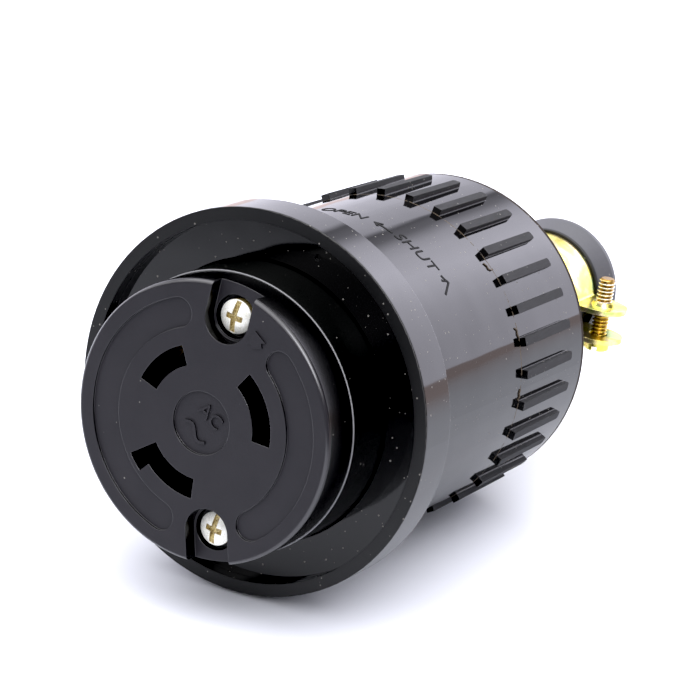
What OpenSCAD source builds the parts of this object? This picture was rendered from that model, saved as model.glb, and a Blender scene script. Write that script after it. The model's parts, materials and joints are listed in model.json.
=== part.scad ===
// Locking cord connector, three wires, lying on its side as it comes to rest.
// Every piece is built on one axis: the face is the plane z = 0 and looks along +z.
// Depths run back from the face towards the cord end.
// lay() then turns the face towards -Y and lets the part down on its flange and two grip ribs.

/* [Face cover] */
// Diameter of the face
face_d = 53; // [52:0.5:55]
// Thickness of the cover
cover_t = 8.8; // [8:0.1:11]
// Rounding of the front edge
face_round = 0.9; // [0.3:0.1:1.5]
// Height of the raised pads on the face
pad_h = 0.25; // [0.1:0.05:0.6]
// Inner diameter of the kidney pads
pad_inner_d = 35.6; // [34:0.1:38]
// Outer diameter of the kidney pads
pad_outer_d = 46.6; // [44:0.1:49]
// Angle between the round ends of the left pad
pad_left_span = 141; // [120:1:146]
// Angle between the round ends of the right pad
pad_right_span = 98; // [80:1:100]
// Direction of the middle of the right pad
pad_right_mid = -5.5; // [-7:0.5:-4]
// Diameter of the raised centre disc
centre_disc_d = 11.8; // [8:0.1:16]

/* [Blade slots] */
// Diameter of the circle through the middle of the slots
slot_circle_d = 25.3; // [24.5:0.1:26]
// Width of the slots
slot_w = 3.8; // [3.4:0.1:4.2]
// Direction of the first line slot
slot_x_mid = 135; // [132:0.5:138]
// Angle covered by the first line slot
slot_x_span = 46; // [40:1:50]
// Direction of the second line slot
slot_y_mid = 23.5; // [20:0.5:27]
// Angle covered by the second line slot
slot_y_span = 56; // [48:1:60]
// Direction of the earth slot
slot_g_mid = -120; // [-123:0.5:-117]
// Angle covered by the earth slot
slot_g_span = 55; // [48:1:60]
// Angle covered by the hook of the earth slot
hook_span = 12.5; // [8:0.5:16]
// How far the hook reaches outside the earth slot
hook_reach = 2.4; // [1.5:0.1:3]

/* [Face screws] */
// Diameter of the circle that the face screws stand on
screw_circle_d = 40.8; // [40:0.1:42]
// Direction of the upper face screw, the lower one mirrors it
screw_angle = 81; // [79:0.5:84]
// Diameter of the face screws
face_screw_d = 3.5; // [3:0.1:4]
// Diameter of their heads
face_head_d = 6.4; // [5.5:0.1:7]
// Height of their heads
face_head_h = 2.6; // [2:0.1:3]
// Length of the face screws inside their threaded inserts
face_screw_bite = 8; // [6:0.5:8]
// Width of the screw notches in the face
notch_w = 9; // [8.4:0.1:10]
// Depth of the notches
notch_depth = 3.2; // [2.4:0.1:4]
// Depth of the seat under the screw heads
head_seat = 5; // [4.4:0.1:6]
// Gap around the screw heads
head_play = 0.9; // [0.4:0.1:1]

/* [Contact base] */
// How far the base stands out beyond the cover
base_ledge = 0.2; // [0.1:0.05:0.4]
// Distance from the face to the floor of the flange's recess
insert_proud = 20.3; // [18:0.1:22]
// Depth of the seat of the base on the screw posts
insert_seat = 33; // [32:0.5:36]
// Diameter of the terminal hub
hub_d = 44; // [42:0.5:46]
// Length of the terminal hub
hub_l = 13; // [12:0.5:16]
// Thickness of the floor under the spring jaws
jaw_floor_t = 4; // [3:0.5:6]
// Gap around the base in the shell
insert_play = 0.3; // [0.2:0.05:0.5]

/* [Contacts] */
// Thickness of a plug blade between the jaws
blade_t = 1.8; // [1.4:0.1:2]
// Thickness of the spring leaves
leaf_t = 0.8; // [0.6:0.1:1]
// How far the leaves flare at the mouth
leaf_flare = 0.6; // [0.3:0.1:0.7]
// Length of the flare along the axis
flare_l = 2; // [1:0.5:4]
// Depth of the mouth of the jaws behind the cover
jaw_inset = 1.2; // [0.6:0.1:3]
// Angle by which the jaws are shorter than their slot at each end
jaw_short = 2; // [1:0.5:5]
// Thickness of the tab and of the web under the jaws
strip_t = 1.6; // [1.2:0.1:2]
// How far the web reaches past the corners of the tab
web_edge = 0.3; // [0.2:0.1:0.6]
// Width of the terminal tab
tab_w = 9; // [8:0.1:10]
// Distance from the axis to the inner face of the tab
tab_x = 13.6; // [13:0.1:14]
// Length of the terminal tab past the seat of the base
tab_l = 12; // [11:0.5:13]
// Gap around the contacts in the base
contact_play = 0.2; // [0.1:0.05:0.4]

/* [Terminals] */
// Diameter of the terminal screws
term_screw_d = 4; // [3.5:0.1:4.5]
// Distance from the seat of the base to the terminal screw
term_offset = 6.5; // [6:0.1:7]
// Width of the pressure plates
plate_w = 9; // [8:0.1:10]
// Thickness of the pressure plates
plate_t = 1.4; // [1:0.1:2]
// Diameter of the terminal screws' heads
term_head_d = 7; // [6:0.1:8]
// Height of the terminal screws' heads
term_head_h = 2.6; // [2:0.1:3]
// Reach of the terminal screws past the tab
term_tip = 4; // [3:0.5:5]
// Width of the terminal pockets
pocket_w = 12; // [11:0.5:13]

/* [Shell] */
// Diameter of the flange
flange_d = 73.7; // [70:0.1:80]
// Width of the raised rim
rim_w = 2.5; // [1.5:0.1:4]
// Depth of the recess inside the rim
recess_depth = 2.95; // [2:0.05:4]
// Length of the flange along the axis
flange_l = 9.3; // [8:0.1:14]
// Rounding of the flange's edges
flange_round = 0.2; // [0.2:0.1:1]
// Diameter of the body
body_d = 63.3; // [62:0.1:66]
// Length of the body behind the flange
body_l = 66.75; // [62:0.25:76]
// Thickness of the conical rear wall
rear_wall = 4; // [3:0.5:6]
// Length of the conical rear
rear_cone_l = 19; // [17:0.5:22]
// Rounding between the cone and the neck
neck_round = 6; // [2:0.5:8]
// Diameter of the screw posts inside
post_d = 9; // [8.5:0.1:10]
// Diameter of the mould pin's dent in the recess floor
dent_d = 1.2; // [0.8:0.1:2]
// Depth of that dent
dent_depth = 0.5; // [0.2:0.1:1]
// Distance of the dent from the axis
dent_r = 30.9; // [29:0.1:32]
// Direction of the dent
dent_angle = 72.5; // [0:0.5:180]

/* [Grip ribs] */
// Number of ribs around the body
rib_n = 32; // [28:4:36]
// Width of a rib
rib_w = 1.75; // [1.2:0.05:2.4]
// Height of a rib at its square front end
rib_h_front = 1.3; // [1:0.1:2]
// Height of a rib at its rear end
rib_h_rear = 1; // [0.9:0.1:1.4]
// Length of a rib
rib_l = 20.1; // [16:0.1:24]
// Distance from the rear end of the ribs to the rear edge of the body
rib_back = 7.4; // [5:0.1:10]
// Rounding of the corners at the rear end
rib_round = 0.6; // [0.2:0.1:0.7]

/* [Threaded inserts] */
// Outer diameter of the inserts in the posts
insert_d = 6.4; // [5.6:0.1:7]
// Length of the inserts
insert_l = 10; // [9:0.5:12]

/* [Neck and bushing] */
// Diameter of the cord
cord_d = 16; // [14:0.5:16.5]
// Diameter of the neck
neck_d = 22; // [21.5:0.1:22.5]
// Length of the neck behind the cone
neck_l = 20.9; // [20:0.1:26]
// Depth of the clamp's groove in the neck
groove_depth = 1.2; // [0.8:0.1:1.3]
// Distance from the groove to the end of the neck
groove_back = 3.2; // [3:0.1:5]
// Length of the bushing's spigot in the neck
spigot_l = 2.4; // [1.5:0.1:2.8]
// Diameter of the spigot
spigot_d = 18.4; // [18.2:0.1:18.6]
// Gap around the spigot
spigot_play = 0.1; // [0.05:0.05:0.2]
// Diameter of the bushing's lip
lip_d = 28.4; // [27:0.1:32]
// Diameter of the lip at its front edge
lip_front_d = 25.4; // [25:0.1:26.8]
// Length of the lip
lip_l = 7; // [6.6:0.1:9]
// Length of the taper from the lip's front edge to its full diameter
lip_taper_l = 5.3; // [3:0.1:5.4]
// Rounding of the lip's rear edge
lip_round = 0.8; // [0.4:0.1:1.2]

/* [Cord clamp] */
// Thickness of the saddles' sheet
sheet_t = 1; // [0.8:0.1:1.4]
// Width of the saddles along the axis
band_w = 10.4; // [9.6:0.1:12]
// Gap between the saddles and what they hold
clamp_play = 0.2; // [0.1:0.05:0.3]
// Gap between the ears of the two saddles
ear_gap = 5.4; // [5:0.1:8]
// How far the middle of that gap lies below the axis
seam_drop = 1.9; // [0:0.1:2.5]
// Turn of the clamp around the axis, from level ears
clamp_turn = -3; // [-10:0.5:10]
// Distance from the axis to the clamp screws
ear_x = 16.7; // [16.5:0.1:19]
// Radius of the bend between the band and the ears
bend_r = 0.8; // [0.6:0.1:1]
// Diameter of the clamp screws
clamp_screw_d = 3.5; // [3:0.1:4]
// Diameter of the clamp screws' heads
clamp_head_d = 5.4; // [5:0.1:6.5]
// Height of the clamp screws' heads
clamp_head_h = 2.3; // [1.5:0.1:2.6]
// Outer diameter of the drawn collars at the upper ears
collar_foot_d = 5; // [5:0.1:6]
// Outer diameter of the collars at their rims
collar_rim_d = 4.4; // [4.3:0.1:4.9]
// Height of the collars
collar_h = 0.8; // [0.6:0.1:2.5]
// How far the clamp screws stand out of the collars
clamp_screw_out = 5.1; // [2:0.1:6]
// Turn of the slots in the clamp screws' heads
clamp_slot_turn = 75; // [0:5:175]

/* [Screw details] */
// Gap between a screw and the thread that holds it
thread_play = 0.05; // [0.02:0.01:0.1]
// Gap between a screw and a plain hole
screw_play = 0.2; // [0.1:0.05:0.4]
// Width of the screwdriver slots
driver_w = 1.1; // [0.8:0.1:1.4]
// Depth of the screwdriver slots
driver_depth = 1; // [0.6:0.1:1.4]
// Length of the short arms of the face screws' cross
cross_l = 3.4; // [2.5:0.1:4]

/* [Hidden] */
$fn = 96;
// Overlap that keeps cuts and joined solids clean
over = 0.5;

// Radii
face_r = face_d / 2;
base_r = face_r + base_ledge;
bore_r = base_r + insert_play;
flange_r = flange_d / 2;
body_r = body_d / 2;
neck_r = neck_d / 2;
cord_r = cord_d / 2;
slot_in_r = (slot_circle_d - slot_w) / 2;
slot_out_r = (slot_circle_d + slot_w) / 2;
hook_out_r = slot_out_r + hook_reach;
hook_mid = slot_g_mid - (slot_g_span - hook_span) / 2;
screw_r = screw_circle_d / 2;
screw_angles = [screw_angle, -screw_angle];
contact_mids = [slot_x_mid, slot_y_mid, slot_g_mid];

// Depths behind the face
rim_front = insert_proud - recess_depth;
flange_rear = rim_front + flange_l;
rear_edge = flange_rear + body_l;
cone_end = rear_edge + rear_cone_l;
neck_end = cone_end + neck_l;
hub_end = insert_seat + hub_l;
jaw_floor = insert_seat - jaw_floor_t;
jaw_mouth = cover_t + jaw_inset;
term_depth = insert_seat + term_offset;
tab_end = insert_seat + tab_l;
face_screw_tip = insert_seat + face_screw_bite;
rib_end = rear_edge - rib_back;
rib_start = rib_end - rib_l;

// Conical rear of the shell
cone_angle = atan2(body_r - neck_r, rear_cone_l);
neck_tangent = neck_round * tan(cone_angle / 2);
spigot_seat = neck_end - spigot_l - clamp_play;

// Spring jaws: inner and outer leaf on both sides of the blade
inner_leaf_r = slot_circle_d / 2 - blade_t / 2 - leaf_t;
outer_leaf_r = slot_circle_d / 2 + blade_t / 2;
web_out_r = norm([tab_x + strip_t, tab_w / 2]) + web_edge;
cavity_in_r = inner_leaf_r - leaf_flare - contact_play;
cavity_out_r = max(web_out_r, outer_leaf_r + leaf_t + leaf_flare) + contact_play;

// Cord clamp: the band lies on the neck and on the bushing, its front lip in the groove
band_in_r = neck_r + clamp_play;
band_out_r = band_in_r + sheet_t;
groove_end = neck_end - groove_back;
groove_start = groove_end - sheet_t - 2 * clamp_play;
band_start = groove_start + clamp_play;
band_end = band_start + band_w;
band_mid = (band_start + band_end) / 2;
lip_start = band_end + clamp_play;
lip_end = lip_start + lip_l;
upper_ear = ear_gap / 2 - seam_drop;
lower_ear = ear_gap / 2 + seam_drop;

// Rest: the flange's rear edge and the rear corners of two ribs carry the part
rib_half_pitch = 180 / rib_n;
rib_top_r = body_r + rib_h_rear;
rib_drop = rib_top_r * cos(rib_half_pitch) + rib_w / 2 * sin(rib_half_pitch);
edge_depth = flange_rear - flange_round;
edge_r = flange_r - flange_round;
rest_run = rib_end - edge_depth;
rest_fall = edge_r - rib_drop;
rest_tilt = atan2(rest_fall, rest_run) + asin(flange_round / norm([rest_run, rest_fall]));
axis_lift = edge_r * cos(rest_tilt) + edge_depth * sin(rest_tilt) + flange_round;
front_reach = (face_r - face_round) * sin(rest_tilt);
lip_edge = [lip_end - lip_round, lip_d / 2 - lip_round];
back_reach = lip_edge[0] * cos(rest_tilt) + lip_edge[1] * sin(rest_tilt) + lip_round;

// Placing

module lay()
  translate([0, (front_reach - back_reach) / 2, axis_lift])
    rotate([-rest_tilt, 0, 0])
      rotate([90, 0, 0])
        children();

// A round bar on the axis between two depths
module bar(from, to, r)
  translate([0, 0, -to])
    cylinder(h = to - from, r = r);

// A piece of a ring between two depths and two radii, centred on a direction
module ring_piece(mid, span, from, to, r_in, r_out)
  rotate([0, 0, mid - span / 2])
    rotate_extrude(angle = span)
      translate([r_in, -to])
        square([r_out - r_in, to - from]);

// Takes a round corner off a profile: quadrant 0 is the upper right corner, then counter-clockwise
module round_off(corner, rho, quadrant)
  translate(corner)
    rotate(90 * quadrant)
      translate([-rho, -rho])
        difference() {
          square(rho + over);
          circle(rho);
        }

// Face cover

module kidney_pad(mid, span) {
  pad_mid_r = (pad_inner_d + pad_outer_d) / 4;
  ring_piece(mid, span, -pad_h, over, pad_inner_d / 2, pad_outer_d / 2);
  for (end = [-1, 1])
    rotate([0, 0, mid + end * span / 2])
      translate([pad_mid_r, 0, -over])
        cylinder(h = pad_h + over, d = (pad_outer_d - pad_inner_d) / 2);
}

module cover_disc()
  rotate_extrude()
    difference() {
      translate([0, -cover_t])
        square([face_r, cover_t]);
      round_off([face_r, 0], face_round, 0);
    }

module blade_slots() {
  slot_end = cover_t + over;
  ring_piece(slot_x_mid, slot_x_span, -over, slot_end, slot_in_r, slot_out_r);
  ring_piece(slot_y_mid, slot_y_span, -over, slot_end, slot_in_r, slot_out_r);
  ring_piece(slot_g_mid, slot_g_span, -over, slot_end, slot_in_r, slot_out_r);
  ring_piece(hook_mid, hook_span, -over, slot_end, slot_in_r, hook_out_r);
}

module screw_notch(angle)
  rotate([0, 0, angle])
    translate([screw_r, 0, 0]) {
      bar(-over, notch_depth, notch_w / 2);
      translate([0, -notch_w / 2, -notch_depth])
        cube([face_r, notch_w, notch_depth + over]);
      bar(-over, head_seat, face_head_d / 2 + head_play);
      bar(0, cover_t + over, face_screw_d / 2 + screw_play);
    }

module face_cover()
  color([0.25, 0.245, 0.26])
    lay()
      difference() {
        union() {
          cover_disc();
          kidney_pad(180, pad_left_span);
          kidney_pad(pad_right_mid, pad_right_span);
          bar(-pad_h, over, centre_disc_d / 2);
        }
        blade_slots();
        for (angle = screw_angles)
          screw_notch(angle);
      }

// Contact base

module jaw_cavity(mid, span)
  ring_piece(mid, span + 2 * jaw_short, cover_t - over, jaw_floor, cavity_in_r, cavity_out_r);

// Way for the tab through the floor and hole for the tip of the terminal screw
module terminal_space(mid)
  rotate([0, 0, mid]) {
    translate([tab_x - contact_play, -tab_w / 2 - contact_play, -insert_seat - over])
      cube([strip_t + 2 * contact_play, tab_w + 2 * contact_play, jaw_floor_t + 2 * over]);
    translate([tab_x - term_tip - over, 0, -term_depth])
      rotate([0, 90, 0])
        cylinder(h = term_tip + 2 * over, d = term_screw_d + 2 * screw_play);
  }

module base_disc()
  rotate_extrude()
    difference() {
      translate([0, -insert_seat])
        square([base_r, insert_seat - cover_t]);
      round_off([base_r, -cover_t], base_ledge, 0);
    }

// Section of the terminal hub: flat pockets behind the tabs and hollows round the screw posts
module hub_section()
  difference() {
    circle(d = hub_d);
    for (mid = contact_mids)
      rotate(mid)
        translate([tab_x - 2 * contact_play, -pocket_w / 2])
          square([hub_d, pocket_w]);
    for (angle = screw_angles)
      rotate(angle)
        translate([screw_r, 0])
          circle(post_d / 2 + insert_play);
  }

module contact_base()
  color([0.09, 0.09, 0.09])
    lay()
      difference() {
        union() {
          base_disc();
          translate([0, 0, -hub_end])
            linear_extrude(height = hub_l + over)
              hub_section();
        }
        jaw_cavity(slot_x_mid, slot_x_span);
        jaw_cavity(slot_y_mid, slot_y_span);
        jaw_cavity(slot_g_mid, slot_g_span);
        ring_piece(hook_mid, hook_span + 2 * jaw_short, cover_t - over, jaw_floor, slot_in_r, hook_out_r);
        for (mid = contact_mids)
          terminal_space(mid);
        for (angle = screw_angles)
          rotate([0, 0, angle])
            translate([screw_r, 0, 0])
              bar(cover_t - over, hub_end + over, face_screw_d / 2 + screw_play);
      }

// Contacts

// One spring leaf: a curved strip that flares away from the blade at its mouth
module leaf(span, r, side) {
  flare_end = jaw_mouth + flare_l;
  rotate([0, 0, -span / 2])
    rotate_extrude(angle = span)
      polygon([
        [r, -jaw_floor],
        [r + leaf_t, -jaw_floor],
        [r + leaf_t, -flare_end],
        [r + leaf_t + side * leaf_flare, -jaw_mouth],
        [r + side * leaf_flare, -jaw_mouth],
        [r, -flare_end]
      ]);
}

module spring_contact(mid, slot_span) {
  span = slot_span - 2 * jaw_short;
  rotate([0, 0, mid])
    difference() {
      union() {
        leaf(span, inner_leaf_r, -1);
        leaf(span, outer_leaf_r, 1);
        ring_piece(0, span, jaw_floor - strip_t, jaw_floor, inner_leaf_r, web_out_r);
        translate([tab_x, -tab_w / 2, -tab_end])
          cube([strip_t, tab_w, tab_end - jaw_floor + strip_t]);
      }
      translate([tab_x - over, 0, -term_depth])
        rotate([0, 90, 0])
          cylinder(h = strip_t + 2 * over, d = term_screw_d + 2 * thread_play);
    }
}

module line_contact_x()
  color([0.78, 0.6, 0.26])
    lay()
      spring_contact(slot_x_mid, slot_x_span);

module line_contact_y()
  color([0.78, 0.6, 0.26])
    lay()
      spring_contact(slot_y_mid, slot_y_span);

module ground_contact()
  color([0.78, 0.6, 0.26])
    lay()
      spring_contact(slot_g_mid, slot_g_span);

// Terminals

module pressure_plate(mid)
  rotate([0, 0, mid])
    translate([tab_x + strip_t, 0, -term_depth])
      difference() {
        translate([0, -plate_w / 2, -plate_w / 2])
          cube([plate_t, plate_w, plate_w]);
        translate([-over, 0, 0])
          rotate([0, 90, 0])
            cylinder(h = plate_t + 2 * over, d = term_screw_d + 2 * screw_play);
      }

module terminal_plate_x()
  color([0.75, 0.74, 0.7])
    lay()
      pressure_plate(slot_x_mid);

module terminal_plate_y()
  color([0.75, 0.74, 0.7])
    lay()
      pressure_plate(slot_y_mid);

module terminal_plate_g()
  color([0.75, 0.74, 0.7])
    lay()
      pressure_plate(slot_g_mid);

// A slotted cheese head screw along +z, its head on top of z = 0 and its shank below
module cheese_screw(d, shank_l, head_d, head_h)
  difference() {
    union() {
      cylinder(h = head_h, d = head_d);
      translate([0, 0, -shank_l])
        cylinder(h = shank_l + head_h / 2, d = d);
    }
    translate([-head_d, -driver_w / 2, head_h - driver_depth])
      cube([2 * head_d, driver_w, head_h]);
  }

module terminal_screw(mid)
  rotate([0, 0, mid])
    translate([tab_x + strip_t + plate_t, 0, -term_depth])
      rotate([0, 90, 0])
        cheese_screw(term_screw_d, plate_t + strip_t + term_tip, term_head_d, term_head_h);

module terminal_screw_x()
  color([0.75, 0.6, 0.3])
    lay()
      terminal_screw(slot_x_mid);

module terminal_screw_y()
  color([0.75, 0.6, 0.3])
    lay()
      terminal_screw(slot_y_mid);

module terminal_screw_g()
  color([0.25, 0.5, 0.3])
    lay()
      terminal_screw(slot_g_mid);

// Face screws and the inserts that hold them

// Pan head with a slot across it and the short arms of a cross
module face_screw(angle) {
  crown_r = face_head_d * 0.9;
  head_top = head_seat - face_head_h;
  rotate([0, 0, angle])
    translate([screw_r, 0, 0])
      difference() {
        union() {
          intersection() {
            bar(head_top, head_seat, face_head_d / 2);
            translate([0, 0, -head_top - crown_r])
              sphere(crown_r);
          }
          bar(head_seat - face_head_h / 2, face_screw_tip, face_screw_d / 2);
        }
        rotate([0, 0, -angle + screw_angle])
          translate([0, 0, -head_top - driver_depth]) {
            translate([-face_head_d, -driver_w / 2, 0])
              cube([2 * face_head_d, driver_w, face_head_h]);
            translate([-driver_w / 2, -cross_l / 2, 0])
              cube([driver_w, cross_l, face_head_h]);
          }
      }
}

module face_screw_upper()
  color([0.86, 0.79, 0.55])
    lay()
      face_screw(screw_angle);

module face_screw_lower()
  color([0.86, 0.79, 0.55])
    lay()
      face_screw(-screw_angle);

module threaded_insert(angle)
  rotate([0, 0, angle])
    translate([screw_r, 0, 0])
      difference() {
        bar(insert_seat, insert_seat + insert_l, insert_d / 2);
        bar(insert_seat - over, insert_seat + insert_l + over, face_screw_d / 2 + thread_play);
      }

module threaded_insert_upper()
  color([0.78, 0.6, 0.26])
    lay()
      threaded_insert(screw_angle);

module threaded_insert_lower()
  color([0.78, 0.6, 0.26])
    lay()
      threaded_insert(-screw_angle);

// Shell

// Outside of the moulding: flange, body, conical rear with a hollow rounding, and neck
module shell_outside() {
  cone_foot = [neck_r, -cone_end];
  difference() {
    polygon([
      [0, -rim_front],
      [flange_r, -rim_front],
      [flange_r, -flange_rear],
      [body_r, -flange_rear],
      [body_r, -rear_edge],
      cone_foot,
      [neck_r, -neck_end],
      [0, -neck_end]
    ]);
    round_off([flange_r, -rim_front], flange_round, 0);
    round_off([flange_r, -flange_rear], flange_round, 3);
  }
  difference() {
    polygon([
      cone_foot,
      cone_foot + neck_tangent * [sin(cone_angle), cos(cone_angle)],
      cone_foot - [0, neck_tangent]
    ]);
    translate([neck_r + neck_round, -cone_end - neck_tangent])
      circle(neck_round);
  }
}

// Inside of the moulding: recess, bore, conical rear of even wall, cord hole, spigot seat and clamp groove
module shell_inside() {
  bore_end = rear_edge + (body_r - bore_r) / tan(cone_angle) - rear_wall / sin(cone_angle);
  inner_cone_end = bore_end + (bore_r - cord_r) / tan(cone_angle);
  polygon([
    [0, over - rim_front],
    [flange_r - rim_w, over - rim_front],
    [flange_r - rim_w, -insert_proud],
    [bore_r, -insert_proud],
    [bore_r, -bore_end],
    [cord_r, -inner_cone_end],
    [cord_r, -spigot_seat],
    [spigot_d / 2 + spigot_play, -spigot_seat],
    [spigot_d / 2 + spigot_play, -neck_end - over],
    [0, -neck_end - over]
  ]);
  translate([neck_r - groove_depth, -groove_end])
    square([groove_depth + over, groove_end - groove_start]);
}

// One grip rib along +x: a wedge with a square front end and two round corners at the rear
module grip_rib() {
  root_r = body_r - over;
  crest_r = body_r + rib_h_front;
  intersection() {
    rotate([90, 0, 0])
      linear_extrude(height = 2 * rib_w, center = true)
        polygon([
          [root_r, -rib_start],
          [crest_r, -rib_start],
          [rib_top_r, -rib_end],
          [root_r, -rib_end]
        ]);
    translate([root_r, 0, 0])
      rotate([90, 0, 90])
        linear_extrude(height = crest_r)
          difference() {
            translate([-rib_w / 2, -rib_end])
              square([rib_w, rib_l]);
            round_off([-rib_w / 2, -rib_end], rib_round, 2);
            round_off([rib_w / 2, -rib_end], rib_round, 3);
          }
  }
}

module screw_posts()
  intersection() {
    for (angle = screw_angles)
      rotate([0, 0, angle])
        translate([screw_r, 0, 0]) {
          bar(insert_seat, cone_end, post_d / 2);
          translate([0, -post_d / 2, -cone_end])
            cube([bore_r - screw_r + over, post_d, cone_end - insert_seat]);
        }
    rotate_extrude()
      shell_outside();
  }

module shell()
  color([0.05, 0.05, 0.055])
    lay()
      difference() {
        union() {
          rotate_extrude()
            difference() {
              shell_outside();
              shell_inside();
            }
          screw_posts();
          for (i = [0:rib_n - 1])
            rotate([0, 0, (2 * i + 1) * rib_half_pitch])
              grip_rib();
        }
        for (angle = screw_angles)
          rotate([0, 0, angle])
            translate([screw_r, 0, 0])
              bar(insert_seat - over, insert_seat + insert_l, insert_d / 2);
        rotate([0, 0, dent_angle])
          translate([dent_r, 0, 0])
            bar(insert_proud - over, insert_proud + dent_depth, dent_d / 2);
      }

// Cord bushing

module cord_bushing()
  color([0.1, 0.1, 0.1])
    lay()
      rotate_extrude()
        difference() {
          union() {
            translate([cord_r, -neck_end])
              square([spigot_d / 2 - cord_r, spigot_l]);
            translate([cord_r, -lip_end])
              square([neck_r - cord_r, lip_end - neck_end]);
            polygon([
              [cord_r, -lip_end],
              [lip_d / 2, -lip_end],
              [lip_d / 2, -lip_start - lip_taper_l],
              [lip_front_d / 2, -lip_start],
              [cord_r, -lip_start]
            ]);
          }
          round_off([lip_d / 2, -lip_end], lip_round, 3);
        }

// Cord clamp

// Section of one saddle across the axis: a band down to the level of its ears, the ears and their bends
module saddle_section(ear_level) {
  ear_root = sqrt(pow(band_in_r, 2) - pow(ear_level, 2));
  ear_back = ear_level + sheet_t;
  bend_y = ear_back + bend_r;
  bend_x = sqrt(pow(band_out_r + bend_r, 2) - pow(bend_y, 2));
  on_band = band_out_r / (band_out_r + bend_r);
  intersection() {
    difference() {
      circle(band_out_r);
      circle(band_in_r);
    }
    translate([-band_out_r, ear_level])
      square(2 * band_out_r);
  }
  for (side = [-1, 1]) {
    translate([side > 0 ? ear_root : -ear_x - band_w, ear_level])
      square([ear_x + band_w - ear_root, sheet_t]);
    difference() {
      polygon([
        [side * bend_x * on_band, bend_y * on_band],
        [side * ear_root, ear_back - sheet_t / 2],
        [side * bend_x, ear_back]
      ]);
      translate([side * bend_x, bend_y])
        circle(bend_r);
      circle(band_in_r);
    }
  }
}

// Outline of a saddle seen along y, with its round ears
module saddle_outline() {
  translate([-ear_x, -band_end])
    square([2 * ear_x, band_w]);
  for (side = [-1, 1])
    translate([side * ear_x, -band_mid])
      circle(d = band_w);
}

// Cone that was drawn out of the ear, its foot sunk halfway into the sheet
module collar()
  rotate_extrude()
    polygon([
      [0, -sheet_t / 2],
      [collar_foot_d / 2, -sheet_t / 2],
      [collar_foot_d / 2, 0],
      [collar_rim_d / 2, collar_h],
      [0, collar_h]
    ]);

module saddle(ear_level, collared, hole_play)
  difference() {
    union() {
      intersection() {
        translate([0, 0, -band_end])
          linear_extrude(height = band_w)
            saddle_section(ear_level);
        rotate([90, 0, 0])
          linear_extrude(height = 4 * band_out_r, center = true)
            saddle_outline();
      }
      intersection() {
        difference() {
          bar(band_start, band_start + sheet_t, band_in_r + sheet_t / 2);
          bar(band_start - over, band_start + sheet_t + over, neck_r - groove_depth + clamp_play);
        }
        translate([-band_out_r, ear_level, -band_end])
          cube([2 * band_out_r, band_out_r, band_w]);
      }
      if (collared)
        for (side = [-1, 1])
          translate([side * ear_x, ear_level + sheet_t, -band_mid])
            rotate([-90, 0, 0])
              collar();
    }
    for (side = [-1, 1])
      translate([side * ear_x, -band_out_r, -band_mid])
        rotate([-90, 0, 0])
          cylinder(h = 3 * band_out_r, d = clamp_screw_d + 2 * hole_play);
  }

module lay_clamp()
  lay()
    rotate([0, 0, clamp_turn])
      children();

module upper_saddle()
  color([0.83, 0.7, 0.3])
    lay_clamp()
      saddle(upper_ear, true, thread_play);

module lower_saddle()
  color([0.83, 0.7, 0.3])
    lay_clamp()
      rotate([0, 0, 180])
        saddle(lower_ear, false, screw_play);

// Enters from below, its head under the lower ear
module clamp_screw(side)
  translate([side * ear_x, -lower_ear - sheet_t, -band_mid])
    rotate([90, 0, 0])
      rotate([0, 0, clamp_slot_turn])
        cheese_screw(
          clamp_screw_d,
          ear_gap + 2 * sheet_t + collar_h + clamp_screw_out,
          clamp_head_d,
          clamp_head_h
        );

module clamp_screw_right()
  color([0.8, 0.68, 0.32])
    lay_clamp()
      clamp_screw(1);

module clamp_screw_left()
  color([0.8, 0.68, 0.32])
    lay_clamp()
      clamp_screw(-1);

shell();
face_cover();
contact_base();
line_contact_x();
line_contact_y();
ground_contact();
terminal_plate_x();
terminal_plate_y();
terminal_plate_g();
terminal_screw_x();
terminal_screw_y();
terminal_screw_g();
face_screw_upper();
face_screw_lower();
threaded_insert_upper();
threaded_insert_lower();
cord_bushing();
upper_saddle();
lower_saddle();
clamp_screw_right();
clamp_screw_left();
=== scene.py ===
import json
import math

import bmesh
import bpy
from mathutils import Matrix, Vector


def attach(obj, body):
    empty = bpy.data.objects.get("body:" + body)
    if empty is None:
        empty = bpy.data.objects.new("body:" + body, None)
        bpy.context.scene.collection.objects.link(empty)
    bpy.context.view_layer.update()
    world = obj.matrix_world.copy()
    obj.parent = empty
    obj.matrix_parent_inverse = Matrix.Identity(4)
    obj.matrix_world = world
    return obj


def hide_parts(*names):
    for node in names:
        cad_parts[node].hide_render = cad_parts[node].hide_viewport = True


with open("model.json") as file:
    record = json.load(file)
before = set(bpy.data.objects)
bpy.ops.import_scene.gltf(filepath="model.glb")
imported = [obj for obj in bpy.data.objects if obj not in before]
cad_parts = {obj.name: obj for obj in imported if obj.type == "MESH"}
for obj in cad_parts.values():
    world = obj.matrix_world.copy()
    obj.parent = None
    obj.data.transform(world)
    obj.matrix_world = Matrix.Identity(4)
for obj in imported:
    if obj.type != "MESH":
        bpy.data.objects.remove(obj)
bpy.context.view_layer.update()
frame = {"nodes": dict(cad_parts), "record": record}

# The part's own axis: the record's mounts give the middle of the face and the way it looks.
# Depths run back from the face, in mm, and directions around the axis are in degrees.
MM = 0.001
PLUG_SIDE = next(m for m in frame["record"]["mounts"] if m["name"] == "plug_blades")
FACE_CENTRE = Vector(PLUG_SIDE["pos_m"])
BACK = -Vector(PLUG_SIDE["axis"]).normalized()
RIGHT = Vector((1, 0, 0))
UP = RIGHT.cross(BACK)

# Sizes of the part that finishes and small pieces follow, in mm
COVER_T = 8.8
RIM_FRONT = 17.35
FLANGE_R = 36.85
BODY_R = 31.65
RIB_FRONT = 65.9
RIB_REAR = 86.0
REAR_EDGE = 93.4
LIP_FRONT = 139.5

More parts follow.
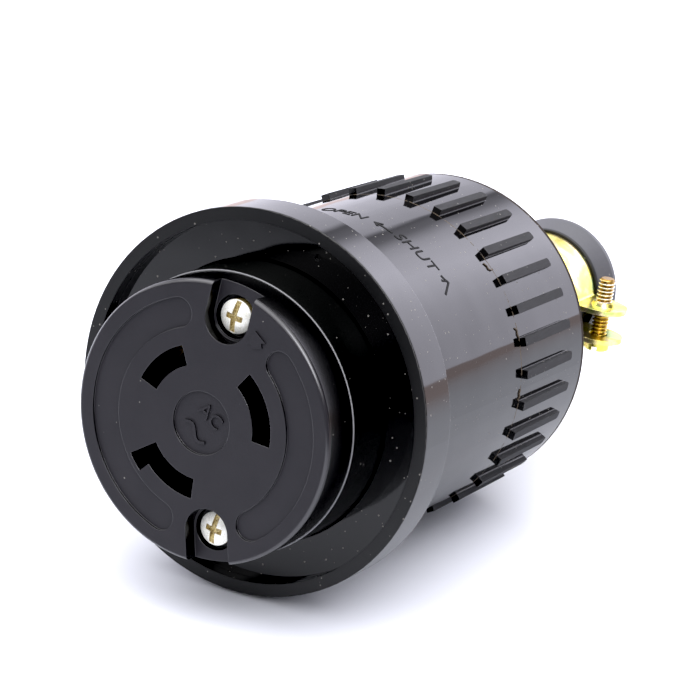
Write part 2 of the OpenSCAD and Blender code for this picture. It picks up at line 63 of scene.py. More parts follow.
# Two kidney panels and a centre disc are sunk into the face:
# middle and span of each panel in degrees, sizes in mm
PANELS = ((180.0, 141.0), (-5.5, 98.0))
PANEL_R = (17.75, 23.35)
DISC_R = 5.95
PANEL_DEPTH = 0.5
# Steps of their outlines: along a panel, round its ends and round the disc
ARC_STEPS = 48
END_STEPS = 16
DISC_STEPS = 64
# Height over the face of the tool that cuts them
TOOL_TOP = 1.0
# Faces of the cover whose normals have this share along the axis are shaded flat,
# and edges over this angle in degrees stay sharp
FLAT_SHARE = 0.999
SHARP_ANGLE = 30.0

# Heads of the face screws, in mm, mirrored about the middle
FACE_SCREW_X = 3.19
FACE_SCREW_Y = 20.15
FACE_HEAD_TOP = 2.4
FACE_CROWN_R = 5.76

# Clamp screws, in mm: the clamp is turned a little about the axis,
# and the screws point up through its ears
CLAMP_TURN = -3.0
CLAMP_DEPTH = 134.1
CLAMP_SCREW_X = 16.7
CLAMP_SCREW_Y = -5.6
SCREW_R = 1.75
SCREW_ROOT_R = 1.36
SCREW_L = 13.3
SCREW_PITCH = 0.8
SCREW_TIP_R = 1.3
TIP_SLOPE = 0.8
THREAD_START = 0.3
THREAD_PEAK = 1.5
THREAD_SLOPE = 4.8
HEAD_R = 2.7
HEAD_H = 2.3
HEAD_ROUND = 0.35
SLOT_W = 1.1
SLOT_DEPTH = 1.0
SLOT_TURN = -75.0
# Steps of their meshes: around, in a pitch and over the head's round edge
AROUND = 32
PITCH_STEPS = 10
ROUND_STEPS = 3
CLAMP_RIGHT = Matrix.Rotation(math.radians(CLAMP_TURN), 3, -BACK) @ RIGHT
CLAMP_UP = CLAMP_RIGHT.cross(BACK)

# Points closer than this become one, in mm
WELD = 0.001


def at(radius, angle, depth):
    """Point at a radius and a direction around the axis, at a depth behind the face."""
    turn = math.radians(angle)
    outwards = math.cos(turn) * RIGHT + math.sin(turn) * UP
    return FACE_CENTRE + MM * (radius * outwards + depth * BACK)


# Camera
CAMERA_AIM = Vector((20.33, -55.85, 52.87)) * MM
CAMERA_AZIMUTH = 28.475
CAMERA_ELEVATION = 19.477
CAMERA_ROLL = 4.06
CAMERA_DISTANCE = 622.8 * MM
CAMERA_CLIP = (0.01, 50)
LENS = 177.55
SENSOR = 36.0


def make_camera():
    data = bpy.data.cameras.new("camera")
    data.sensor_width = SENSOR
    data.lens = LENS
    data.clip_start, data.clip_end = CAMERA_CLIP
    camera = bpy.data.objects.new("camera", data)
    bpy.context.scene.collection.objects.link(camera)
    azimuth = math.radians(CAMERA_AZIMUTH)
    elevation = math.radians(CAMERA_ELEVATION)
    towards = Vector((
        math.sin(azimuth) * math.cos(elevation),
        -math.cos(azimuth) * math.cos(elevation),
        math.sin(elevation),
    ))
    aimed = (-towards).to_track_quat("-Z", "Y").to_matrix()
    turn = aimed @ Matrix.Rotation(math.radians(CAMERA_ROLL), 3, "Z")
    place = Matrix.Translation(CAMERA_AIM + towards * CAMERA_DISTANCE)
    camera.matrix_world = place @ turn.to_4x4()
    bpy.context.scene.camera = camera


# Materials
class Nodes:
    """A node tree, with short calls that add nodes and join them."""

    def __init__(self, tree):
        self.tree = tree

    def feed(self, socket, value):
        if isinstance(value, bpy.types.NodeSocket):
            self.tree.links.new(value, socket)
        else:
            socket.default_value = value

    def add(self, kind, inputs, **settings):
        node = self.tree.nodes.new("ShaderNode" + kind)
        for name, value in settings.items():
            setattr(node, name, value)
        for key, value in inputs.items():
            self.feed(node.inputs[key], value)
        return node

    def math(self, operation, *values):
        return self.add("Math", dict(enumerate(values)), operation=operation).outputs[0]

    def times(self, *values):
        total = values[0]
        for value in values[1:]:
            total = self.math("MULTIPLY", total, value)
        return total

    def plus(self, *values):
        total = values[0]
        for value in values[1:]:
            total = self.math("ADD", total, value)
        return total

    def minus(self, first, second):
        return self.math("SUBTRACT", first, second)

    def most(self, first, second):
        return self.math("MAXIMUM", first, second)

    def span(self, value, base, gain):
        """A base that grows with a value from 0 to 1 by a gain."""
        return self.plus(base, self.times(value, gain))

    def rise(self, value, low, high):
        """0 below low, 1 above high, or the other way round where high is the smaller."""
        ends = {"Value": value, "From Min": low, "From Max": high}
        return self.add("MapRange", ends, interpolation_type="SMOOTHSTEP").outputs[0]

    def band(self, value, low, high, soft):
        return self.times(self.rise(value, low - soft, low), self.rise(value, high + soft, high))

    def mix(self, factor, first, second):
        node = self.add("Mix", {0: factor, 6: first, 7: second}, data_type="RGBA")
        return node.outputs[2]

    def ramp(self, value, *stops):
        node = self.add("ValToRGB", {0: value})
        elements = node.color_ramp.elements
        while len(elements) < len(stops):
            elements.new(1.0)
        for element, (place, color) in zip(elements, stops):
            element.position = place
            element.color = color
        return node.outputs[0]

    def dot(self, vector, direction):
        ends = {0: vector, 1: direction}
        return self.add("VectorMath", ends, operation="DOT_PRODUCT").outputs["Value"]


class Surface(Nodes):
    """A material whose nodes know the part's axis."""

    SOCKETS = {"ior": "IOR", "specular": "Specular IOR Level"}

    def __init__(self, name, **values):
        self.material = bpy.data.materials.new(name)
        self.material.use_nodes = True
        super().__init__(self.material.node_tree)
        self.shader = self.tree.nodes["Principled BSDF"]
        self.set(**values)

    def set(self, **values):
        """Sets or feeds the shader's sockets."""
        for name, value in values.items():
            socket = self.SOCKETS.get(name, name.replace("_", " ").title())
            self.feed(self.shader.inputs[socket], value)

    def spot(self):
        """Place on the part in mm, from the middle of the face."""
        place = self.add("TexCoord", {}).outputs["Object"]
        offset = self.add("VectorMath", {0: place, 1: FACE_CENTRE}, operation="SUBTRACT")
        scaled = {0: offset.outputs[0], "Scale": 1 / MM}
        return self.add("VectorMath", scaled, operation="SCALE").outputs[0]

    def length(self, first, second):
        """Length of two sides at a right angle."""
        return self.math("SQRT", self.squares(first, second))

    def squares(self, first, second):
        return self.plus(self.times(first, first), self.times(second, second))

    def axis(self, spot):
        """Depth behind the face and radius from the axis, in mm."""
        radius = self.length(self.dot(spot, RIGHT), self.dot(spot, UP))
        return self.dot(spot, BACK), radius

    def noise(self, spot, scale, detail=2.0, roughness=0.5):
        settings = {"Vector": spot, "Scale": scale, "Detail": detail, "Roughness": roughness}
        return self.add("TexNoise", settings).outputs["Fac"]

    def stretched(self, spot, factors):
        return self.add("VectorMath", {0: spot, 1: factors}, operation="MULTIPLY").outputs[0]

    def dust(self, spot, spacing, size):
        """Specks of different sizes, about one in a cube of that spacing in mm."""
        cells = self.add("TexVoronoi", {"Vector": spot, "Scale": 1 / spacing})
        shade = self.add("SeparateColor", {0: cells.outputs["Color"]})
        reach = self.times(shade.outputs[0], shade.outputs[0], size / spacing)
        return self.math("LESS_THAN", cells.outputs["Distance"], reach)

    def rounded(self, radius_mm):
        """Normal over edges rounded by a small radius."""
        return self.add("Bevel", {"Radius": radius_mm * MM}, samples=6).outputs[0]

    def relief(self, height, depth_mm, normal=None):
        """Bump of that height, on the surface or on a normal of its own."""
        bump = self.add("Bump", {"Height": height, "Strength": 1.0, "Distance": depth_mm * MM})
        if normal:
            self.feed(bump.inputs["Normal"], normal)
        self.set(normal=bump.outputs[0])


def grey(value, tint=0.0):
    return (value, value, value * (1 + tint), 1)


DUST = (0.2, 0.19, 0.175, 1)

# Zones of the shell's finish, in mm: from where one begins to where it is whole, or its two ends
SATIN_RIM = (RIM_FRONT + 0.25, RIM_FRONT + 0.1)
BEHIND_RIM = (RIM_FRONT + 0.4, RIM_FRONT + 0.8)
FLANGE_SIDE = (FLANGE_R - 1.3, FLANGE_R - 0.8)
RIB_SIDES = (BODY_R + 0.12, BODY_R + 0.25)
RIB_LENGTH = (RIB_FRONT + 0.12, RIB_REAR)
SEAM = (RIB_FRONT - 0.22, RIB_FRONT - 0.02)
SEAM_HEIGHT = (BODY_R + 0.12, BODY_R + 0.06)
SATIN_REAR = (REAR_EDGE + 0.1, REAR_EDGE + 0.4)
BROWN_LINE = (REAR_EDGE - 0.8, REAR_EDGE + 0.1)
EDGE_BROWN = (0.02, 0.012, 0.007, 1)
SEAM_BROWN = (0.1, 0.075, 0.05, 1)


def shell_plastic():
    """Glossy black moulding: mirror body, satin rim, dull ribs, flash at the parting line, dust."""
    surface = Surface("shell_plastic", ior=1.56, specular=0.31, coat_roughness=0.06)
    spot = surface.spot()
    depth, radius = surface.axis(spot)
    grain = surface.noise(spot, scale=3.0, detail=4.0)
    flow = surface.noise(spot, scale=0.045)
    streaks = surface.noise(surface.stretched(spot, (2.2, 0.25, 2.2)), scale=1.0, detail=4.0)
    rim = surface.rise(depth, *SATIN_RIM)
    ribs = surface.times(
        surface.rise(radius, *RIB_SIDES),
        surface.band(depth, *RIB_LENGTH, soft=0.1),
    )
    rear = surface.rise(depth, *SATIN_REAR)
    polish = surface.times(
        surface.rise(radius, *FLANGE_SIDE),
        surface.rise(depth, *BEHIND_RIM),
    )
    flash = surface.times(
        surface.band(depth, *SEAM, soft=0.05),
        surface.rise(surface.noise(spot, scale=0.9, detail=3.0), 0.4, 0.52),
        surface.rise(radius, *SEAM_HEIGHT),
    )
    edge = surface.band(depth, *BROWN_LINE, soft=0.1)
    specks = surface.dust(spot, spacing=1.1, size=0.19)
    plain = surface.ramp(grain, (0.3, grey(0.0004, 0.2)), (0.7, grey(0.001, 0.2)))
    worn = surface.ramp(streaks, (0.3, grey(0.009, 0.1)), (0.75, grey(0.032, 0.1)))
    color = surface.mix(ribs, plain, worn)
    color = surface.mix(edge, color, EDGE_BROWN)
    color = surface.mix(flash, color, SEAM_BROWN)
    color = surface.mix(specks, color, DUST)
    matt = surface.plus(
        surface.times(ribs, surface.span(streaks, base=0.58, gain=0.3)),
        surface.times(rim, surface.span(grain, base=0.22, gain=0.16)),
        surface.times(rear, 0.22),
    )
    gloss = surface.plus(0.05, surface.times(grain, 0.03), matt)
    dry = surface.times(surface.plus(specks, flash, edge), 0.9)
    surface.set(
        base_color=color,
        roughness=surface.most(gloss, dry),
        coat_weight=surface.times(polish, 0.12),
    )
    dull = surface.most(rim, ribs)
    height = surface.plus(surface.times(flow, 3.0), surface.times(grain, dull, 0.04))
    surface.relief(height, depth_mm=0.05, normal=surface.rounded(0.16))
    return surface.material


# The share of a normal that looks along the axis tells the face's front from its edges and walls
EDGES_BEGIN = (0.99, 0.9)
EDGES_SHINE = (0.35, 0.6)
WALLS_BEGIN = (0.4, 0.2)
# Depths in mm over which the front's grey gives way to the black of the walls
FRONT_DEPTH = (3.5, 4.2)


def face_plastic(name, edge_mm):
    """Dark grey moulding: fine dull grain on the front, satin edges, black and glossy walls."""
    surface = Surface(name, ior=1.5, specular=0.3, coat_roughness=0.16)
    spot = surface.spot()
    grain = surface.noise(spot, scale=6.0, detail=3.0)
    cloud = surface.noise(spot, scale=0.12, detail=3.0)
    normal = surface.rounded(edge_mm)
    facing = surface.math("ABSOLUTE", surface.dot(normal, BACK))
    wall = surface.most(
        surface.rise(facing, *WALLS_BEGIN),
        surface.rise(surface.dot(spot, BACK), *FRONT_DEPTH),
    )
    edge = surface.rise(facing, *EDGES_BEGIN)
    specks = surface.dust(spot, spacing=2.2, size=0.15)
    front = surface.ramp(
        cloud,
        (0.3, (0.0135, 0.0125, 0.016, 1)),
        (0.7, (0.0165, 0.0152, 0.019, 1)),
    )
    color = surface.mix(wall, front, grey(0.0006, 0.2))
    color = surface.mix(specks, color, DUST)
    smooth = surface.plus(surface.times(edge, 0.2), surface.times(wall, 0.16))
    surface.set(
        base_color=color,
        roughness=surface.minus(surface.span(grain, base=0.46, gain=0.14), smooth),
        coat_weight=surface.times(edge, surface.rise(facing, *EDGES_SHINE)),
        coat_normal=normal,
    )
    height = surface.times(grain, surface.minus(1.0, edge))
    surface.relief(height, depth_mm=0.02, normal=normal)
    return surface.material


# Ledge of the base behind the cover, in mm, where a light grey line is painted as a highlight
LEDGE = (COVER_T - 0.1, COVER_T + 0.1)
LEDGE_HIGHLIGHT = (0.2, 0.2, 0.21, 1)


def base_plastic():
    """Dull black moulding with a greenish cast, and a painted highlight along the ledge behind the
    cover.
    """
    surface = Surface("base_plastic", ior=1.5, specular=0.25)
    spot = surface.spot()
    grain = surface.noise(spot, scale=4.0, detail=4.0)
    specks = surface.dust(spot, spacing=2.2, size=0.19)
    color = surface.ramp(
        grain,
        (0.3, (0.0003, 0.0004, 0.00035, 1)),
        (0.7, (0.0006, 0.0009, 0.0007, 1)),
    )
    color = surface.mix(specks, color, DUST)
    # Painted highlight: a light grey line along the ledge's edge
    ledge_highlight = surface.band(surface.dot(spot, BACK), *LEDGE, soft=0.1)
    color = surface.mix(ledge_highlight, color, LEDGE_HIGHLIGHT)
    surface.set(base_color=color, roughness=surface.span(grain, base=0.24, gain=0.1))
    surface.relief(grain, depth_mm=0.015, normal=surface.rounded(0.2))
    return surface.material


def metal(name, dark, light, scale, roughness):
    """Metal with a slowly changing tone and fine marks from its making."""
    surface = Surface(name, metallic=1.0)
    spot = surface.spot()
    cloud = surface.noise(spot, scale, detail=4.0)
    marks = surface.noise(spot, scale=9.0, detail=5.0, roughness=0.7)
    surface.set(
        base_color=surface.ramp(cloud, (0.3, dark), (0.7, light)),
        roughness=surface.span(marks, base=roughness, gain=0.2),
    )
    surface.relief(marks, depth_mm=0.006, normal=surface.rounded(0.1))
    return surface.material


# Depths under the crown of a face screw between which its cross begins, in mm; from there the
# colour turns to a brown painted shade
CROSS_DEPTH = (FACE_HEAD_TOP + 0.15, FACE_HEAD_TOP + 0.3)


def screw_gold():
    """Pale gold plating on the face screws, painted near white for their bright highlights, with
    brown painted shade in their crosses.
    """
    surface = Surface("face_screw_gold", metallic=0.15, specular=0.8)
    spot = surface.spot()
    off_side = surface.minus(surface.dot(spot, RIGHT), FACE_SCREW_X)
    off_up = surface.minus(surface.math("ABSOLUTE", surface.dot(spot, UP)), FACE_SCREW_Y)
    crown = surface.times(surface.squares(off_side, off_up), 0.5 / FACE_CROWN_R)
    under = surface.minus(surface.dot(spot, BACK), crown)
    marks = surface.noise(spot, scale=3.0, detail=4.0, roughness=0.7)
    # Pale gold painted near white as a painted highlight, and brown as painted shade in the crosses
    pale_with_highlight = surface.ramp(marks, (0.35, (1.0, 0.98, 0.86, 1)), (0.6, (1.0, 1.0, 0.95, 1)))
    cross_shade = surface.ramp(marks, (0.4, (0.2, 0.13, 0.03, 1)), (0.6, (0.62, 0.5, 0.2, 1)))
    surface.set(
        base_color=surface.mix(surface.rise(under, *CROSS_DEPTH), pale_with_highlight, cross_shade),
        roughness=surface.span(marks, base=0.22, gain=0.12),
    )
    surface.relief(marks, depth_mm=0.01, normal=surface.rounded(0.1))
    return surface.material


def chromate(name):
    """Zinc plating with a yellow chromate film that shades into pink and green."""
    surface = Surface(name, metallic=1.0)
    spot = surface.spot()
    film = surface.plus(
        surface.times(surface.noise(spot, scale=0.17, detail=1.0), 0.85),
        surface.times(surface.noise(spot, scale=1.2, detail=2.0), 0.15),
    )
    color = surface.ramp(
        film,
        (0.34, (0.55, 0.72, 0.28, 1)),
        (0.42, (0.84, 0.74, 0.13, 1)),
        (0.50, (0.90, 0.80, 0.20, 1)),
        (0.58, (0.92, 0.74, 0.42, 1)),
        (0.66, (0.62, 0.70, 0.20, 1)),
    )
    marks = surface.noise(spot, scale=7.0, detail=5.0, roughness=0.7)
    surface.set(base_color=color, roughness=surface.span(marks, base=0.2, gain=0.16))
    surface.relief(marks, depth_mm=0.01, normal=surface.rounded(0.12))
    return surface, color


# Where a clamp screw's thread gives way to its head, and where it comes out over the ears, in mm:
# over the ears the thread is painted lit, between them in painted shade
THREAD_ENDS = (SCREW_R + 0.05, SCREW_R + 0.1)
OVER_EARS = (1.5, 2.5)
# Painted shade in the roots of the thread
ROOT_SHADE = (0.3, 0.17, 0.03, 1)


def threaded_chromate():
    """The same film on the thread, painted pale where it is lit over the ears, gold-brown as
    painted shade between them, and brown as painted shade in its roots.
    """
    surface, film = chromate("clamp_screw")
    spot = surface.spot()
    across = surface.math("ABSOLUTE", surface.dot(spot, CLAMP_RIGHT))
    off_side = surface.minus(across, CLAMP_SCREW_X)
    off_back = surface.minus(surface.dot(spot, BACK), CLAMP_DEPTH)
    radius = surface.length(off_side, off_back)
    share = surface.math("DIVIDE", surface.minus(radius, SCREW_ROOT_R), SCREW_R - SCREW_ROOT_R)
    lit_thread = surface.ramp(
        share,
        (0.2, ROOT_SHADE),
        (0.6, (0.6, 0.45, 0.18, 1)),
        (0.9, (0.92, 0.9, 0.8, 1)),
    )
    # The thread between the ears, darker as painted shade
    gold = surface.ramp(
        share,
        (0.2, ROOT_SHADE),
        (0.6, (0.5, 0.34, 0.05, 1)),
        (0.9, (0.7, 0.52, 0.1, 1)),
    )
    # Painted light over the ears and painted shade between them
    thread = surface.mix(surface.rise(surface.dot(spot, CLAMP_UP), *OVER_EARS), gold, lit_thread)
    surface.set(base_color=surface.mix(surface.rise(radius, *THREAD_ENDS), thread, film))
    return surface.material


# Painted shade: a dark ring at the front of the bushing's lip, in mm
LIP_SHADE_RING = (LIP_FRONT + 0.8, LIP_FRONT + 0.4)


def rubber():
    """Dull dark grey rubber with a fine skin, and a dark ring of painted shade at the front of its
    lip.
    """
    surface = Surface("bushing_rubber", ior=1.5, specular=0.35)
    spot = surface.spot()
    grain = surface.noise(spot, scale=5.0, detail=4.0)
    specks = surface.dust(spot, spacing=2.2, size=0.22)
    color = surface.ramp(grain, (0.3, grey(0.07, 0.12)), (0.7, grey(0.09, 0.12)))
    # Painted shade in the gap at the front of the lip
    front = surface.rise(surface.dot(spot, BACK), *LIP_SHADE_RING)
    color = surface.mix(front, color, grey(0.008, 0.12))
    color = surface.mix(specks, color, DUST)
    surface.set(base_color=color, roughness=surface.span(grain, base=0.4, gain=0.15))
    surface.relief(grain, depth_mm=0.015, normal=surface.rounded(0.2))
    return surface.material


def lacquer(name, dark, light):
    """Painted metal."""
    surface = Surface(name, ior=1.5)
    cloud = surface.noise(surface.spot(), scale=1.2, detail=4.0)
    surface.set(
        base_color=surface.ramp(cloud, (0.3, dark), (0.7, light)),
        roughness=surface.span(cloud, base=0.25, gain=0.2),
    )
    surface.relief(cloud, depth_mm=0.01, normal=surface.rounded(0.1))
    return surface.material


def plain_plastic(name, dark, light, roughness):
    """Rough plastic of small raised marks and flash."""
    surface = Surface(name, specular=0.2)
    grain = surface.noise(surface.spot(), scale=5.0, detail=4.0)
    surface.set(
        base_color=surface.ramp(grain, (0.3, dark), (0.7, light)),
        roughness=surface.span(grain, base=roughness, gain=0.2),
    )
    surface.relief(grain, depth_mm=0.02)
    return surface.material


FINISHES = {
    "shell_plastic": shell_plastic(),
    "face_plastic": face_plastic("face_plastic", edge_mm=0.18),
    "face_mark": face_plastic("face_mark", edge_mm=0.03),
    "base_plastic": base_plastic(),
    # The brass of the contacts and inserts is painted dark brown as painted shade, so that it stays
    # dark deep in the slots
    "contact_brass": metal(
        "contact_brass",
        dark=(0.1, 0.07, 0.025, 1),
        light=(0.16, 0.11, 0.05, 1),
        scale=0.5,
        roughness=0.3,
    ),
    "plate_steel": metal(
        "plate_steel",
        dark=(0.5, 0.5, 0.49, 1),
        light=(0.66, 0.66, 0.65, 1),
        scale=0.6,
        roughness=0.22,
    ),
    "terminal_brass": metal(
        "terminal_brass",
        dark=(0.6, 0.43, 0.18, 1),
        light=(0.76, 0.58, 0.3, 1),
        scale=0.8,
        roughness=0.18,
    ),
    "earth_green": lacquer(
        "earth_green",
        dark=(0.015, 0.12, 0.04, 1),
        light=(0.03, 0.2, 0.07, 1),
    ),
    "face_screw_gold": screw_gold(),
    "mark_plastic": plain_plastic(
        "mark_plastic",
        dark=grey(0.003),
        light=grey(0.007),
        roughness=0.6,
    ),
    "flash_plastic": plain_plastic(
        "flash_plastic",
        dark=(0.03, 0.022, 0.015, 1),
        light=(0.12, 0.09, 0.06, 1),
        roughness=0.45,
    ),
    "bushing_rubber": rubber(),
    "clamp_chromate": chromate("clamp_chromate")[0].material,
    "clamp_screw": threaded_chromate(),
}
NODE_FINISHES = {
    "shell": "shell_plastic",
    "face_cover": "face_plastic",
    "contact_base": "base_plastic",
    "line_contact_x": "contact_brass",
    "line_contact_y": "contact_brass",
    "ground_contact": "contact_brass",
    "terminal_plate_x": "plate_steel",
    "terminal_plate_y": "plate_steel",
    "terminal_plate_g": "plate_steel",
    "terminal_screw_x": "terminal_brass",
    "terminal_screw_y": "terminal_brass",
    "terminal_screw_g": "earth_green",
    "face_screw_upper": "face_screw_gold",
    "face_screw_lower": "face_screw_gold",
    "threaded_insert_upper": "contact_brass",
    "threaded_insert_lower": "contact_brass",
    "cord_bushing": "bushing_rubber",
    "upper_saddle": "clamp_chromate",
    "lower_saddle": "clamp_chromate",
    "clamp_screw_right": "clamp_chromate",
    "clamp_screw_left": "clamp_chromate",
}


def dress_nodes():
    for node, finish in NODE_FINISHES.items():
        for place in frame["nodes"][node].material_slots:
            place.material = FINISHES[finish]


# Small pieces
def finish_piece(name, mesh_data, finish):
    """Turns a bmesh into a piece of the part."""
    bmesh.ops.recalc_face_normals(mesh_data, faces=mesh_data.faces)
    mesh = bpy.data.meshes.new(name)
    mesh_data.to_mesh(mesh)
    mesh_data.free()
    mesh.materials.append(FINISHES[finish])
    piece = bpy.data.objects.new(name, mesh)
    bpy.context.scene.collection.objects.link(piece)
    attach(piece, "root")
    return piece


def on_shell(angle, depth):
    """Lays a flat figure on the shell.

    Its x runs round the body, clockwise seen from the plug, and its y to the rear.
    """
    def place(x, y, height):
        return at(BODY_R + height, angle - math.degrees(x / BODY_R), depth + y)
    return place


def on_face(x0, y0, angle, height0=0.0):
    """Lays a flat figure on the face, turned about the axis."""
    turn = math.radians(angle)
    along = math.cos(turn) * RIGHT + math.sin(turn) * UP
    across = math.cos(turn) * UP - math.sin(turn) * RIGHT

    def place(x, y, height):
        flat = x0 * RIGHT + y0 * UP + x * along + y * across
        return FACE_CENTRE + MM * (flat - (height0 + height) * BACK)
    return place


def add_line(flat, points, width):
    """Adds a band of that width along a line of flat points."""
    line = [Vector(point) for point in points]
    sides = []
    for before, point, after in zip([line[0]] + line, line, line[1:] + [line[-1]]):
        along = (after - before).normalized()
        across = Vector((-along.y, along.x)) * width / 2
        sides.append([flat.verts.new((point + side * across).to_3d()) for side in (1, -1)])
    for (left, right), (next_left, next_right) in zip(sides, sides[1:]):
        flat.faces.new((left, right, next_right, next_left))


# Capital letters' share of the built-in letters' size, and the steps of their curves
LETTER_SHARE = 0.69
LETTER_STEPS = 4


def add_word(flat, word, letter_h, slant=0.0):
    """Adds a word in the built-in letters, centred, its foot on the x axis."""
    font = bpy.data.curves.new(word, "FONT")
    font.body = word
    font.align_x = "CENTER"
    font.size = letter_h / LETTER_SHARE
    font.shear = slant
    font.resolution_u = LETTER_STEPS
    letters = bpy.data.objects.new(word, font)
    mesh = bpy.data.meshes.new_from_object(letters)
    flat.from_mesh(mesh)
    bmesh.ops.remove_doubles(flat, verts=flat.verts, dist=WELD)
    bmesh.ops.triangulate(flat, faces=flat.faces)
    bpy.data.meshes.remove(mesh)
    bpy.data.objects.remove(letters)
    bpy.data.curves.remove(font)


def thicken(flat, place, low, high):
    """Makes a flat figure a solid from low to high over the surface that place lays it on."""
    top = bmesh.ops.extrude_face_region(flat, geom=flat.faces[:])["geom"]
    raised = {item for item in top if isinstance(item, bmesh.types.BMVert)}
    for vertex in flat.verts:
        vertex.co = place(vertex.co.x, vertex.co.y, high if vertex in raised else low)


# The foot of a raised piece, under the surface, in mm
RAISED_LOW = -0.06


def raise_flat(name, flat, place, high, finish):
    """Makes a flat figure a raised piece."""
    thicken(flat, place, RAISED_LOW, high)
    finish_piece(name, flat, finish)


def cut(solid, tool):
    """Takes the shape of a tool out of a solid."""
    pair = []
    for shape in (solid, tool):
        bmesh.ops.recalc_face_normals(shape, faces=shape.faces)
        mesh = bpy.data.meshes.new("cut")
        shape.to_mesh(mesh)
        pair.append(bpy.data.objects.new("cut", mesh))
        bpy.context.scene.collection.objects.link(pair[-1])
    tool.free()
    knife = pair[0].modifiers.new("cut", "BOOLEAN")
    knife.object = pair[1]
    knife.solver = "EXACT"
    evaluated = pair[0].evaluated_get(bpy.context.evaluated_depsgraph_get())
    rest = bpy.data.meshes.new_from_object(evaluated)
    solid.clear()
    solid.from_mesh(rest)
    for item in pair:
        bpy.data.meshes.remove(item.data)
    bpy.data.meshes.remove(rest)


# Marks, in mm: how far they stand over the surface, and the width of their lines
SHELL_MARK_HIGH = 0.07
FACE_MARK_HIGH = 0.3
DISC_MARK_HIGH = 0.35
SHELL_LINE_W = 0.5
WORD_SLANT = 0.1
# Words on the shell: piece, word, direction, depth and height of the letters
SHELL_WORDS = (
    ("mark_open", "OPEN", 91.5, 46.0, 2.6),
    ("mark_shut", "SHUT", 60.5, 45.8, 2.9),
)
# Arrows on the shell: piece, direction, depth and the lines of the figure
SHELL_ARROWS = (
    ("mark_arrow_between", 79.0, 47.0, (
        [(0, 0.2), (1.1, 0.05), (2.2, -0.1), (3.3, -0.25), (4.4, -0.4)],
        [(1.5, 1.1), (0, 0.2), (1.3, -0.9)],
    )),
    ("mark_arrow_end", 45.4, 48.6, (
        [(-1.8, -0.9), (-1.1, -0.75), (-0.5, -0.45), (0, 0)],
        [(-0.8, -1.8), (0, 0), (2.0, -3.4)],
    )),
)
# Supply sign and wave on the centre disc, and outline of the arrow beside the upper screw
DISC_MARK_TURN = -35
SUPPLY_AT = (1.0, 0.6)
SUPPLY_LETTER_H = 2.7
WAVE_AT = (-1.3, -2.0)
WAVE_L = 5.6
WAVE_H = 0.85
WAVE_W = 0.55
WAVE_STEPS = 12
FACE_ARROW = (
    (9.43, 19.58),
    (7.86, 16.9),
    (8.75, 17.05),
    (9.3, 16.2),
    (11.13, 16.65),
    (10.9, 17.55),
    (11.75, 17.72),
)


def mark_shell():
    """Direction marks round the top of the body: two words, an arrow between and one at the end."""
    for name, word, angle, depth, letter_h in SHELL_WORDS:
        flat = bmesh.new()
        add_word(flat, word, letter_h, WORD_SLANT)
        place = on_shell(angle, depth)
        raise_flat(name, flat, place, SHELL_MARK_HIGH, "mark_plastic")
    for name, angle, depth, lines in SHELL_ARROWS:
        flat = bmesh.new()
        for line in lines:
            add_line(flat, line, SHELL_LINE_W)
        place = on_shell(angle, depth)
        raise_flat(name, flat, place, SHELL_MARK_HIGH, "mark_plastic")


def polar(radius, turn):
    return Vector((radius * math.cos(turn), radius * math.sin(turn)))


def kidney(middle, span):
    """Outline of a curved panel with round ends, in mm on the face."""
    inner, outer = PANEL_R
    low, high = [math.radians(middle + side * span / 2) for side in (-1, 1)]
    outline = []
    for radius, start, end, flip in ((outer, low, high, 0.0), (inner, high, low, math.pi)):
        for step in range(ARC_STEPS + 1):
            outline.append(polar(radius, start + (end - start) * step / ARC_STEPS))
        end_middle = polar((inner + outer) / 2, end)
        for step in range(1, END_STEPS):
            turn = end + flip + step / END_STEPS * math.pi
            outline.append(end_middle + polar((outer - inner) / 2, turn))
    return outline


def sink_panels():
    """The face cover with sunk panels, in place of the one on which they are raised."""
    cover = frame["nodes"]["face_cover"]
    turned = Matrix((RIGHT, UP, -BACK))
    solid = bmesh.new()
    corners = []
    for vertex in cover.data.vertices:
        offset = cover.matrix_world @ vertex.co - FACE_CENTRE
        corners.append(solid.verts.new(turned @ offset / MM))
    for polygon in cover.data.polygons:
        solid.faces.new([corners[index] for index in polygon.vertices])
    bmesh.ops.remove_doubles(solid, verts=solid.verts, dist=WELD)
    tool = bmesh.new()
    disc = [polar(DISC_R, step / DISC_STEPS * math.tau) for step in range(DISC_STEPS)]
    for outline in [kidney(*panel) for panel in PANELS] + [disc]:
        tool.faces.new([tool.verts.new((*point, 0)) for point in outline])
    thicken(tool, lambda x, y, height: Vector((x, y, height)), -PANEL_DEPTH, TOOL_TOP)
    cut(solid, tool)
    for vertex in solid.verts:
        vertex.co = FACE_CENTRE + MM * (turned.transposed() @ vertex.co)
    piece = finish_piece("face_cover_sunk", solid, "face_plastic")
    for polygon in piece.data.polygons:
        polygon.use_smooth = abs(polygon.normal.dot(BACK)) < FLAT_SHARE
    piece.data.set_sharp_from_angle(angle=math.radians(SHARP_ANGLE))
    piece.modifiers.new("normals", "WEIGHTED_NORMAL").keep_sharp = True
    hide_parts("face_cover")


